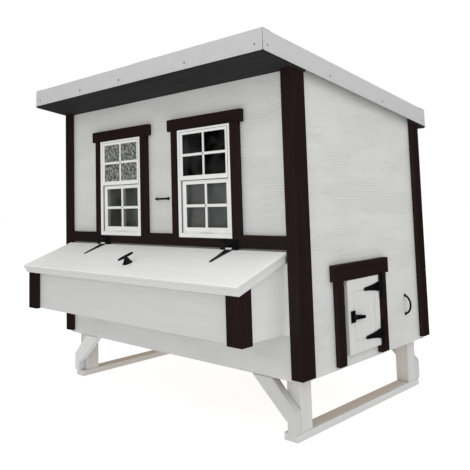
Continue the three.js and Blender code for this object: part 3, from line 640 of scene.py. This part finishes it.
def fixed_sash(word, low, high):
    """The frame with the upper sash in it, and the upper pane."""
    y = low.y
    left, right = low.x + JAMB, high.x - JAMB
    split, top = low.z + SPLIT, high.z - HEAD
    back = y + FRAME_DEPTH
    jamb = [(0.0, back), (0.0, y + 0.0015), (0.1, y), (0.55, y), (0.66, y + 0.0016),
            (0.86, y + 0.0016), (1.0, y + 0.0034), (1.0, back)]
    mesh = bmesh.new()
    add_frame(mesh, (low.x, low.z), (high.x, high.z), (JAMB, JAMB, SILL, HEAD), jamb)
    add_sill_ramp(mesh, left, right, y, low.z)
    add_seals(mesh, left, right, y, low.z + SILL, split, top)
    rebate = 0.001
    front, rear = (y + depth for depth in UPPER_DEPTHS)
    opening = sash(mesh, (left - rebate, split), (right + rebate, top + rebate), UPPER_RAILS, front, rear)
    make(f"window_{word}_frame", mesh, "coop", [VINYL, SEAL_AND_PAINTED_SHADE], [f"window_frame_{word}"])
    # the left upper pane carries a painted reflection
    glass = GLASS_WITH_PAINTED_REFLECTION if word == "left" else DARK_GLASS
    pane(f"window_{word}_upper_pane", *opening, y + UPPER_PANE, "coop", glass)


def sliding_sash(word, y):
    """The lower sash with the ledge it is lifted by, and the lower pane."""
    low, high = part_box(f"window_sash_{word}")
    body = f"sash_{word}"
    front = y + LOWER_FRONT
    mesh = bmesh.new()
    opening = sash(mesh, (low.x, low.z), (high.x, high.z), LOWER_RAILS, front, front + LOWER_THICK)
    middle = (low.x + high.x) / 2
    half = 0.040
    add_board(mesh, (middle - half, front - 0.0042, low.z + 0.0035),
              (middle + half, front + 0.002, low.z + 0.0062), 0.0008)
    make(f"window_{word}_lower_sash", mesh, body, [VINYL], [f"window_sash_{word}"])
    pane(f"window_{word}_lower_pane", *opening, front + LOWER_PANE, body, GLASS)


def screen(word, low, high):
    """The fixed insect screen behind the lower sash: a rim and the net in it."""
    y = low.y
    inset = 0.0155
    net_low = (low.x + inset, low.z + 0.017)
    net_high = (high.x - inset, low.z + SPLIT + 0.012)
    rail = 0.009
    rim = [(0.0, y + 0.0425), (0.0, y + 0.0375), (0.15, y + 0.0368), (0.85, y + 0.0368), (1.0, y + 0.0375),
           (1.0, y + 0.0425)]
    mesh = bmesh.new()
    add_frame(mesh, net_low, net_high, (rail, rail, rail, rail), rim)
    make(f"screen_{word}_rim", mesh, "coop", [VINYL])
    mesh = bmesh.new()
    edge = 0.006
    add_board(mesh, (net_low[0] + edge, y + 0.0396, net_low[1] + edge),
              (net_high[0] - edge, y + 0.0400, net_high[1] - edge), 0.0001, 0, 1)
    make(f"screen_{word}_net", mesh, "coop", [SCREEN])


def window(word):
    low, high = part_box(f"window_frame_{word}")
    fixed_sash(word, low, high)
    sliding_sash(word, low.y)
    screen(word, low, high)


for word in ("left", "right"):
    window(word)

# ------------------------------------------------------------------ the nest box lid

LID_LOW, LID_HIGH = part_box("nest_lid")
LID_ORIGIN = Vector((0, LID_HIGH.y + 0.001, LID_HIGH.z + 0.001 * math.tan(LID_ANGLE)))
LID_UP = Vector((0, math.cos(LID_ANGLE), math.sin(LID_ANGLE)))
LID_OUT = Vector((0, -math.sin(LID_ANGLE), math.cos(LID_ANGLE)))


def on_lid(x, up, out):
    """A point on the lid: across, up its slope from the wall line, and out from its top face."""
    return Vector((x, 0, 0)) + LID_ORIGIN + LID_UP * up + LID_OUT * out


LID_CORNER = 0.008       # radius of the front corners, seen from above
CORNER_STEPS = 6
LID_RAIL = 0.042         # width of the frame under the lid
LID_BOARD = 0.013        # thickness inside that frame
LID_EDGE = [             # (inset, out) from the top face, over a step, down to the underside
    (0.0040, 0.0), (0.0018, -0.0006), (0.0005, -0.0018), (0.0, -0.0038), (0.0, -0.0100),
    (0.0008, -0.0118), (0.0034, -0.0134), (0.0046, -0.0152), (0.0046, -0.0330), (0.0058, -0.0355),
    (0.0080, -LID_THICK),
]


def lid_ring(length, inset, out, rear=0.0):
    """The lid's outline at one height, with round front corners and its back edge upright."""
    wall = (-0.001 + out * math.sin(LID_ANGLE)) / math.cos(LID_ANGLE) - rear
    radius = max(LID_CORNER - inset, 0.0015)
    left, right, low = LID_LOW.x + inset, LID_HIGH.x - inset, -length + inset
    points = [(left, wall)]
    for centre, start in ((left + radius, math.pi), (right - radius, 1.5 * math.pi)):
        for i in range(CORNER_STEPS + 1):
            turn = start + math.pi / 2 * i / CORNER_STEPS
            points.append((centre + radius * math.cos(turn), low + radius + radius * math.sin(turn)))
    points.append((right, wall))
    return [on_lid(x, up, out) for x, up in points]


def nest_lid():
    """A board on a frame, open underneath; its rim's faces take a darker copy of the paint as painted shade,
    the rest a lighter copy as painted light.
    """
    length = (LID_ORIGIN.y - LID_LOW.y) / math.cos(LID_ANGLE)
    loops = [lid_ring(length, inset, out) for inset, out in LID_EDGE]
    loops.append(lid_ring(length, LID_RAIL, -LID_THICK, LID_RAIL))
    loops.append(lid_ring(length, LID_RAIL + 0.001, -LID_BOARD, LID_RAIL))
    mesh = bmesh.new()
    add_loops(mesh, loops)
    mesh.normal_update()
    for face in mesh.faces:
        # faces that look up or down take the painted light copy, the rim's faces the painted shade copy
        face.material_index = 0 if abs(face.normal.dot(LID_OUT)) > 0.6 else 1
    make("nest_lid_panel", mesh, "lid", [LID_PAINTED_LIGHT, LID_RIM_PAINTED_SHADE], ["nest_lid"], 40)


nest_lid()

# ------------------------------------------------------------------ roof covering and edge metal


def sheet_strip(mesh, outline, ends, thick):
    """A bent sheet: an open outline of (out, up) given a thickness and drawn along its length.

    ends are functions that place an (out, up) point at each end of the strip."""
    inner = []
    for i, point in enumerate(outline):
        before = Vector(outline[max(i - 1, 0)])
        after = Vector(outline[min(i + 1, len(outline) - 1)])
        along = (after - before).normalized()
        normal = Vector((along.y, -along.x))
        inner.append(Vector(point) + normal * thick)
    closed = [Vector(point) for point in outline] + inner[::-1]
    add_loops(mesh, [[end(point.x, point.y) for point in closed] for end in ends])


def edge_outline(foot, top, lip, flange):
    """A drip edge: kicked-out lip, upright face with a rounded bend, and a flange on the roof."""
    return [
        (lip, foot - 0.0002), (lip * 0.62, foot + 0.0010), (0.0012, foot + 0.0042), (0.0, foot + 0.0062),
        (0.0, (foot + top) / 2), (0.0, top - 0.0035), (-0.0010, top - 0.0010), (-0.0035, top),
        (-flange, top),
    ]


EDGE = 0.0010            # thickness of the edge metal
LIP = 0.0056
FLANGE = 0.045
LENGTH_LAP = 0.025       # the right length laps this far over the left one
LENGTH_PROUD = 0.0011    # and stands this far out from it
SETTLE = 0.0003          # the metal lies this far under its nominal height
END_GAP = 0.0002         # a rake's metal stops this far short of its box at each end


def eave_metal(name, node, outward, joint_x):
    """Edge metal along the front or back in two lengths, the right one lapped over the left."""
    low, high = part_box(node)
    face = low.y + FLASHING_LIP if outward < 0 else high.y - FLASHING_LIP
    mesh = bmesh.new()
    for x0, x1, proud in ((low.x, joint_x + LENGTH_LAP, 0.0), (joint_x, high.x, LENGTH_PROUD)):
        outline = edge_outline(FLASHING_FOOT - proud * 0.4, FLASHING_TOP + proud * 0.5,
                               LIP - 0.0006 + proud * 0.5, FLANGE)

        def place(x):
            def at(out, up):
                y = face + outward * (out - LENGTH_PROUD + proud)
                return (x, y, roof_height(y, up - SETTLE))
            return at

        sheet_strip(mesh, outline, [place(x0), place(x1)], EDGE)
    make(name, mesh, "coop", [FLASHING], [node], 50)


def rake_metal(name, node, side):
    """Edge metal down a side of the roof, in one length."""
    low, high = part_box(node)
    face = high.x - FLASHING_LIP if side > 0 else low.x + FLASHING_LIP
    outline = edge_outline(FLASHING_FOOT, FLASHING_TOP, LIP, FLANGE)
    mesh = bmesh.new()

    def place(y):
        def at(out, up):
            return (face + side * out, y, roof_height(y, up - SETTLE))
        return at

    sheet_strip(mesh, outline, [place(low.y + END_GAP), place(high.y - END_GAP)], EDGE)
    make(name, mesh, "coop", [FLASHING], [node], 50)


eave_metal("edge_metal_front", "roof_flashing_front", -1, MIDDLE_X + 0.039)
eave_metal("edge_metal_rear", "roof_flashing_rear", 1, MIDDLE_X - 0.060)
rake_metal("edge_metal_left", "roof_flashing_left", -1)
rake_metal("edge_metal_right", "roof_flashing_right", 1)


EXPOSURE = 0.1365        # of each course
TAB = 0.305
TAB_GAP = 0.007
SHINGLE_FOOT = 0.0796    # underside of the shingles above the roof's underside
BUTT = 0.0034            # thickness at a tab's lower edge
TAB_TOP = 0.0011         # and at its upper edge
TAB_CHAMFER = 0.0012
TUCK = 0.006             # how far a tab runs under the course above it
SHORTEST_TAB = 0.015
SHORTEST_COURSE = 0.012
GAP_TONE = 0.4           # of the layer that shows between tabs


def add_tab(mesh, x0, x1, y, top, butt):
    """A thin wedge from y up the roof to top, thickest at its lower edge; returns its faces."""
    corners = []
    for px, py, up in (
            (x0, y, butt - TAB_CHAMFER), (x1, y, butt - TAB_CHAMFER),
            (x1, y - TAB_CHAMFER, butt), (x0, y - TAB_CHAMFER, butt),
            (x1, top, TAB_TOP), (x0, top, TAB_TOP)):
        foot = mesh.verts.new((px, py, roof_height(py, SHINGLE_FOOT)))
        head = mesh.verts.new((px, py, roof_height(py, SHINGLE_FOOT + up)))
        corners.append((foot, head))
    a, b, c, d, e, f = corners
    return [mesh.faces.new(face) for face in (
        (a[0], b[0], b[1], a[1]), (a[1], b[1], c[1], d[1]), (d[1], c[1], e[1], f[1]),
        (f[1], e[1], e[0], f[0]), (a[0], d[0], d[1], a[1]), (d[0], f[0], f[1], d[1]),
        (b[0], c[0], c[1], b[1]), (c[0], e[0], e[1], c[1]),
        (a[0], b[0], c[0], d[0]), (d[0], c[0], e[0], f[0]),
    )]


def shingles():
    """Courses of three-tab shingles, laid from the low edge up, over a dark layer."""
    mesh = bmesh.new()
    layer = mesh.faces.layers.float.new("tone")
    left, right = SHINGLE_LOW.x, SHINGLE_HIGH.x
    y = SHINGLE_HIGH.y
    course = 0
    while y > SHINGLE_LOW.y + SHORTEST_COURSE:
        top = max(y - EXPOSURE - TUCK, SHINGLE_LOW.y)
        shift = (course % 2) * TAB / 2 + DRAWS.uniform(-0.006, 0.006)
        x = left - shift
        while x < right:
            x0, x1 = max(x + TAB_GAP / 2, left), min(x + TAB - TAB_GAP / 2, right)
            if x1 - x0 > SHORTEST_TAB:
                butt = BUTT + DRAWS.uniform(-0.0004, 0.0004)
                faces = add_tab(mesh, x0, x1, y, top, butt)
                tone = DRAWS.uniform(0.76, 1.16)
                for face in faces:
                    face[layer] = tone
            x += TAB
        y -= EXPOSURE
        course += 1
    half = 0.0004
    section = [(SHINGLE_HIGH.y, -half), (SHINGLE_HIGH.y, half), (SHINGLE_LOW.y, half), (SHINGLE_LOW.y, -half)]
    add_loops(mesh, [[(x, py, roof_height(py, SHINGLE_FOOT + up)) for py, up in section]
                     for x in (left, right)])
    for face in mesh.faces:
        if not face[layer]:
            face[layer] = GAP_TONE
    make("shingle_courses", mesh, "coop", [GRANULES], ["roof_shingles"])


shingles()

# ------------------------------------------------------------------ screws

# (away from the pin, along it); the flange's first number is a share of its reach
FLANGE_HOLES = [(0.35, -0.039), (0.75, -0.023), (0.75, 0.023), (0.35, 0.039)]
STRAP_HOLES = [(0.022, -0.009), (0.022, 0.009), (0.062, 0.0), (0.098, 0.0)]


def hinge_screws(name, moving, pin, along, flange, strap, flange_out, strap_out, flange_reach):
    """Screws of one T hinge; the vectors say which way its pin, flange and strap run and face."""
    flange_holes = [(share * flange_reach, sideways) for share, sideways in FLANGE_HOLES]
    groups = (("leaf", "coop", flange_holes, flange, flange_out),
              ("strap", moving, STRAP_HOLES, strap, strap_out))
    for part, body, holes, reach, out in groups:
        mesh = bmesh.new()
        for away, sideways in holes:
            place = Vector(pin) + Vector(reach) * away + Vector(along) * sideways
            place -= Vector(out) * PLATE_BELOW_PIN
            add_screw(mesh, place, out, reach)
        make(f"{name}_{part}_screws", mesh, body, [BLACK])


def centre_of(node):
    low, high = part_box(node)
    return (low + high) / 2


KNUCKLE = [(0.0038, 0.0), (0.0043, 0.0006), (0.0043, 0.0326), (0.0038, 0.0332)]
KNUCKLE_HALF = 0.0166
LID_FLANGE = 0.033
DOOR_FLANGE = 0.024

for word in ("left", "right"):
    middle = centre_of(f"lid_hinge_leaf_{word}")
    pin = Vector((middle.x, JOINTS["lid_hinge"]["pos_m"][1], JOINTS["lid_hinge"]["pos_m"][2]))
    hinge_screws(f"lid_hinge_{word}", "lid", pin, (1, 0, 0), (0, 0, 1), -LID_UP, (0, -1, 0), LID_OUT,
                 LID_FLANGE)
    # a light sleeve on the barrel: its colour is a painted highlight
    mesh = bmesh.new()
    add_lathe(mesh, pin - Vector((KNUCKLE_HALF, 0, 0)), (1, 0, 0), (0, 0, 1), KNUCKLE, 24)
    make(f"lid_hinge_{word}_knuckle_with_painted_highlight", mesh, "lid", [KNUCKLE_PAINTED_HIGHLIGHT], (), 50)
for prefix, body, side in (("pop", "pop_door", 1), ("access", "access_door", -1)):
    for level in ("upper", "lower"):
        middle = centre_of(f"{prefix}_hinge_leaf_{level}")
        where = JOINTS[f"{prefix}_door_hinge"]["pos_m"]
        hinge_screws(f"{prefix}_hinge_{level}", body, (where[0], where[1], middle.z), (0, 0, 1), (0, 1, 0),
                     (0, -1, 0), (side, 0, 0), (side, 0, 0), DOOR_FLANGE)


def plate_screws():
    """Four small screws in the corners of the pop door's latch plate."""
    low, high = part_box("pop_latch_plate")
    plate_thick = 0.0037
    end, edge = 0.0055, 0.006
    mesh = bmesh.new()
    for z in (low.z + end, high.z - end):
        for y in (low.y + edge, high.y - edge):
            add_screw(mesh, (low.x + plate_thick, y, z), (1, 0, 0), (0, 0, 1), 0.0026, 0.0012)
    make("pop_latch_screws", mesh, "pop_door", [BLACK])


plate_screws()

FRONT_SCREWS = (-0.720, -0.358, -0.057, 0.366, 0.725)    # along the eaves, from the middle
SIDE_SCREWS = (-0.135, 0.227, 0.603, 0.950)              # along the rakes, from the front corner boards
EAVE_SCREW_UP = 0.026                                    # above the foot of the metal
RAKE_SCREW_UP = 0.024
METAL_SCREW = (0.0042, 0.0014)                           # radius and height of its head
SUNK = 0.0002


def flashing_screws():
    """The screws that hold the edge metal, on all four sides."""
    mesh = bmesh.new()
    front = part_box("roof_flashing_front")[0].y + FLASHING_LIP
    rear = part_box("roof_flashing_rear")[1].y - FLASHING_LIP
    for x in FRONT_SCREWS:
        for y, out in ((front - SUNK, -1), (rear + SUNK, 1)):
            z = roof_height(y, FLASHING_FOOT + EAVE_SCREW_UP)
            add_screw(mesh, (MIDDLE_X + x, y, z), (0, out, 0), (0, 0, 1), *METAL_SCREW)
    for along in SIDE_SCREWS:
        y = FACE_Y + along
        z = roof_height(y, FLASHING_FOOT + RAKE_SCREW_UP)
        for node, side, end in (("roof_flashing_right", 1, 1), ("roof_flashing_left", -1, 0)):
            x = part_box(node)[end].x - side * FLASHING_LIP
            add_screw(mesh, (x, y, z), (side, 0, 0), (0, 0, 1), *METAL_SCREW)
    make("edge_metal_screws", mesh, "coop", [ZINC])


flashing_screws()

# ------------------------------------------------------------------ T handles


# (radius, height above the panel) from the rose's foot to the top of the neck
ROSE = [
    (0.0202, 0.0003), (0.0206, 0.0010), (0.0206, 0.0030), (0.0198, 0.0042), (0.0180, 0.0050),
    (0.0164, 0.0066), (0.0138, 0.0115), (0.0114, 0.0170), (0.0104, 0.0180), (0.0104, 0.0196),
    (0.0092, 0.0206), (0.0078, 0.0220), (0.0074, 0.0260), (0.0076, 0.0300), (0.0064, 0.0318),
    (0.0020, 0.0322),
]
# (radius, distance from the middle) from the bar's end to its middle
HALF_BAR = [
    (0.0006, 0.0400), (0.0022, 0.0396), (0.0035, 0.0384), (0.0041, 0.0350), (0.0052, 0.0300),
    (0.0056, 0.0200), (0.0056, 0.0080), (0.0060, 0.0060), (0.0060, 0.0),
]
BAR_HEIGHT = 0.030


def t_handle(name, node, body, place, out, bar):
    """A T handle: stepped conical rose, neck and a bar that thins to rounded ends."""
    out, bar = Vector(out), Vector(bar)
    mesh = bmesh.new()
    add_lathe(mesh, place, out, bar, ROSE, 40)
    profile = [(radius, -along) for radius, along in HALF_BAR] + HALF_BAR[-2::-1]
    add_lathe(mesh, Vector(place) + out * BAR_HEIGHT, bar, out, profile, 28)
    make(name, mesh, body, [BLACK], [node], 40)


lid_turn = JOINTS["lid_handle_turn"]
t_handle("lid_t_handle", "lid_handle", "lid_handle", lid_turn["pos_m"], LID_OUT, LID_UP)
door_turn = JOINTS["access_handle_turn"]
t_handle("access_t_handle", "access_handle", "access_handle", door_turn["pos_m"], (-1, 0, 0), (0, 1, 0))

# ------------------------------------------------------------------ camera, floor and light

CAMERA_PLACE = Vector((2.09909, -2.06387, 0.84130))
CAMERA_FACING = Vector((-0.68712, 0.72033, 0.09483))
CAMERA_ROLL = math.radians(1.7429)
LENS = 47.265
SENSOR = 36
SHIFT_UP = -0.19947
FLOOR_HALF = 30
FLOOR_GLOW = 0.93
FLOOR_TONE = 0.15

lens = bpy.data.cameras.new("camera")
lens.lens = LENS
lens.sensor_width = SENSOR
lens.shift_y = SHIFT_UP
camera = bpy.data.objects.new("camera", lens)
bpy.context.scene.collection.objects.link(camera)
camera.location = CAMERA_PLACE
upright = CAMERA_FACING.to_track_quat("-Z", "Y").to_matrix()
camera.rotation_euler = (Matrix.Rotation(CAMERA_ROLL, 3, CAMERA_FACING) @ upright).to_euler()
bpy.context.scene.camera = camera

mesh = bmesh.new()
bmesh.ops.create_grid(mesh, x_segments=2, y_segments=2, size=FLOOR_HALF)
floor_data = bpy.data.meshes.new("studio_floor")
mesh.to_mesh(floor_data)
mesh.free()
studio_floor = bpy.data.objects.new("studio_floor", floor_data)
bpy.context.scene.collection.objects.link(studio_floor)
ground = Graph("studio_floor")
ground.shader.inputs["Emission Color"].default_value = (1, 1, 1, 1)
ground.shader.inputs["Emission Strength"].default_value = FLOOR_GLOW
ground.shader.inputs["Specular IOR Level"].default_value = 0.0
floor_data.materials.append(ground.finish(Base_Color=(FLOOR_TONE, FLOOR_TONE, FLOOR_TONE, 1), Roughness=1.0))
studio_floor.visible_glossy = False

world = bpy.data.worlds.new("studio")
bpy.context.scene.world = world
world.use_nodes = True
world.node_tree.nodes["Background"].inputs["Color"].default_value = (1, 1, 1, 1)
world.node_tree.nodes["Background"].inputs["Strength"].default_value = 1.0
world.cycles_visibility.glossy = False


def softbox(name, place, aim, size, power):
    """A square lamp at place that faces aim."""
    data = bpy.data.lights.new(name, "AREA")
    data.shape = "SQUARE"
    data.size = size
    data.energy = power
    lamp = bpy.data.objects.new(name, data)
    bpy.context.scene.collection.objects.link(lamp)
    lamp.location = place
    lamp.rotation_euler = (Vector(aim) - Vector(place)).to_track_quat("-Z", "Y").to_euler()


softbox("top_light", (0.3, -0.6, 4.8), (0, 0, 0.7), 3.0, 62)
softbox("side_light", (4.2, -0.4, 3.4), (0.3, 0, 0.7), 2.4, 27)
softbox("front_light", (1.5, -5.0, 1.5), (0, 0, 0.8), 3.0, 31)
bpy.context.scene.view_settings.view_transform = "Standard"
